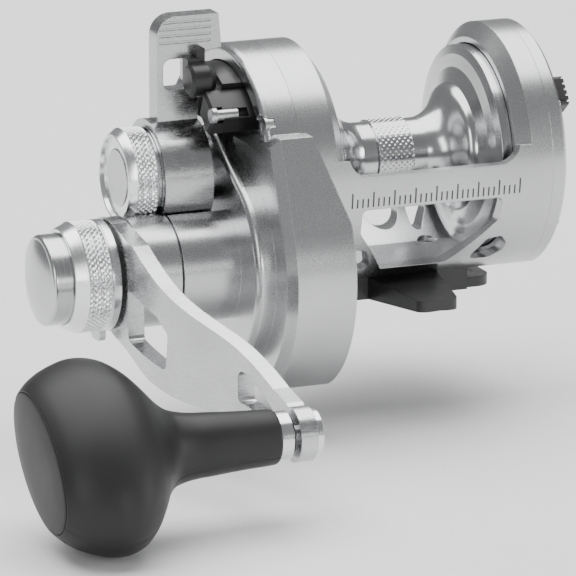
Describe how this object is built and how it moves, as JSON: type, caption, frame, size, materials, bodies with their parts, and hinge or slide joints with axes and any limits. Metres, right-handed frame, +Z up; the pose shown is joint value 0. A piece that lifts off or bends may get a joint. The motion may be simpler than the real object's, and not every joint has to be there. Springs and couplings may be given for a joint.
{
  "type": "trolling reel",
  "caption": "Lever-drag trolling reel with a round one-piece frame, crank with a large swivelling grip, drag lever over a quadrant, preset knob and a clamp foot.",
  "frame": {"origin": "centre of the rod foot's flat underside, below the middle of the spool", "axes": "+X along the spool's axis, away from the crank; -Y to the front, where the crank points at rest; +Z up from the foot to the spool"},
  "size_m": [0.1777, 0.1663, 0.1082],
  "materials": {
    "satin_aluminium": "fine turned satin, bright anodised",
    "polished_aluminium": "polished and turned",
    "knurled_aluminium": "diamond knurled satin",
    "black_anodised": "black anodised, satin",
    "stainless_steel": "machined stainless",
    "bearing_steel": "ground and polished",
    "grip_rubber": "soft moulded rubber, matte",
    "drag_carbon": "woven carbon friction face",
    "plain_plastic": "acetal bush",
    "gear_bronze": "machined gear bronze",
    "badge_metal": "plain brushed disc"
  },
  "bodies": {
    "frame_body": {"frame": "satin_aluminium", "left_side_plate": "satin_aluminium", "left_plate_screws": "stainless_steel", "gear_housing": "satin_aluminium", "boss_cap": "satin_aluminium", "housing_screw": "stainless_steel", "bridge_plate": "stainless_steel", "rod_foot": "black_anodised", "foot_screws": "stainless_steel", "left_bearing_cap": "satin_aluminium", "left_spool_bearing": "bearing_steel", "pinion_bearing": "bearing_steel", "inner_drive_bearing": "bearing_steel", "outer_drive_bearing": "bearing_steel", "drag_quadrant": "black_anodised", "strike_stop": "black_anodised", "front_dog_pin": "stainless_steel", "rear_dog_pin": "stainless_steel"},
    "shaft_body": {"spool_shaft": "stainless_steel"},
    "spool_body": {"spool": "polished_aluminium", "spool_bearing_right": "bearing_steel", "spool_bearing_left": "bearing_steel", "drag_washer": "drag_carbon", "click_ratchet": "stainless_steel"},
    "pinion_body": {"high_pinion": "stainless_steel", "low_pinion": "stainless_steel", "pressure_plate": "stainless_steel"},
    "crank_body": {"crank_arm": "satin_aluminium", "hub_washer": "black_anodised", "hub_collar": "knurled_aluminium", "drive_shaft": "stainless_steel", "high_gear": "gear_bronze", "anti_reverse_ratchet": "stainless_steel", "knob_spindle": "stainless_steel"},
    "low_gear_body": {"low_gear": "gear_bronze"},
    "shift_body": {"shift_button": "satin_aluminium"},
    "latch_body": {"release_latch": "stainless_steel"},
    "grip_body": {"knob_grip": "grip_rubber", "knob_sleeve": "plain_plastic", "knob_ferrule": "polished_aluminium"},
    "lever_body": {"drag_lever": "satin_aluminium", "click_housing": "black_anodised", "lever_cam": "stainless_steel"},
    "preset_body": {"preset_knob": "knurled_aluminium", "knob_badge": "badge_metal"},
    "strike_button_body": {"strike_button": "stainless_steel"},
    "clicker_body": {"clicker_button": "black_anodised"},
    "front_dog_body": {"front_dog": "stainless_steel"},
    "rear_dog_body": {"rear_dog": "stainless_steel"}
  },
  "joints": [
    {"name": "drag_lever_turn", "type": "hinge", "parent": "frame_body", "child": "lever_body", "pos_m": [-0.06, 0, 0.0365], "axis": [1, 0, 0], "range_deg": [-78, 0]},
    {"name": "preset_knob_turn", "type": "hinge", "parent": "lever_body", "child": "preset_body", "pos_m": [-0.07, 0, 0.0365], "axis": [1, 0, 0], "range_deg": [-360, 360]},
    {"name": "shaft_shift", "type": "slide", "parent": "frame_body", "child": "shaft_body", "axis": [1, 0, 0], "range_m": [0, 0.0008]},
    {"name": "spool_spin", "type": "hinge", "parent": "shaft_body", "child": "spool_body", "pos_m": [0, 0, 0.0365], "axis": [1, 0, 0], "continuous": true},
    {"name": "pinion_spin", "type": "hinge", "parent": "frame_body", "child": "pinion_body", "pos_m": [-0.04, 0, 0.0365], "axis": [1, 0, 0], "continuous": true},
    {"name": "crank_spin", "type": "hinge", "parent": "frame_body", "child": "crank_body", "pos_m": [-0.08, -0.01125, 0.01373], "axis": [1, 0, 0], "continuous": true},
    {"name": "low_gear_spin", "type": "hinge", "parent": "frame_body", "child": "low_gear_body", "pos_m": [-0.039, -0.01125, 0.01373], "axis": [1, 0, 0], "continuous": true},
    {"name": "shift_button_press", "type": "slide", "parent": "crank_body", "child": "shift_body", "axis": [1, 0, 0], "range_m": [0, 0.003], "stiffness_N_per_m": 500},
    {"name": "release_latch_press", "type": "slide", "parent": "crank_body", "child": "latch_body", "axis": [0, 0, 1], "range_m": [0, 0.0008], "stiffness_N_per_m": 500},
    {"name": "grip_spin", "type": "hinge", "parent": "crank_body", "child": "grip_body", "pos_m": [-0.09, -0.10195, -0.00727], "axis": [1, 0, 0], "continuous": true},
    {"name": "strike_button_press", "type": "slide", "parent": "frame_body", "child": "strike_button_body", "axis": [1, 0, 0], "range_m": [0, 0.002], "stiffness_N_per_m": 500},
    {"name": "clicker_slide", "type": "slide", "parent": "frame_body", "child": "clicker_body", "axis": [0, 0.6293, 0.7771], "range_m": [0, 0.004]},
    {"name": "front_dog_turn", "type": "hinge", "parent": "frame_body", "child": "front_dog_body", "pos_m": [-0.0475, -0.02729, 0.00943], "axis": [1, 0, 0], "range_deg": [-8, 0], "stiffness_Nm_per_rad": 0.002},
    {"name": "rear_dog_turn", "type": "hinge", "parent": "frame_body", "child": "rear_dog_body", "pos_m": [-0.0475, 0.00478, 0.01803], "axis": [1, 0, 0], "range_deg": [-8, 0], "stiffness_Nm_per_rad": 0.002}
  ],
  "couplings": [
    {"joint": "shaft_shift", "follows": "drag_lever_turn", "m_per_rad": -0.00058},
    {"joint": "pinion_spin", "follows": "crank_spin", "ratio": -6.3},
    {"joint": "spool_spin", "follows": "crank_spin", "ratio": -6.3},
    {"joint": "low_gear_spin", "follows": "crank_spin", "ratio": 2.1}
  ]
}
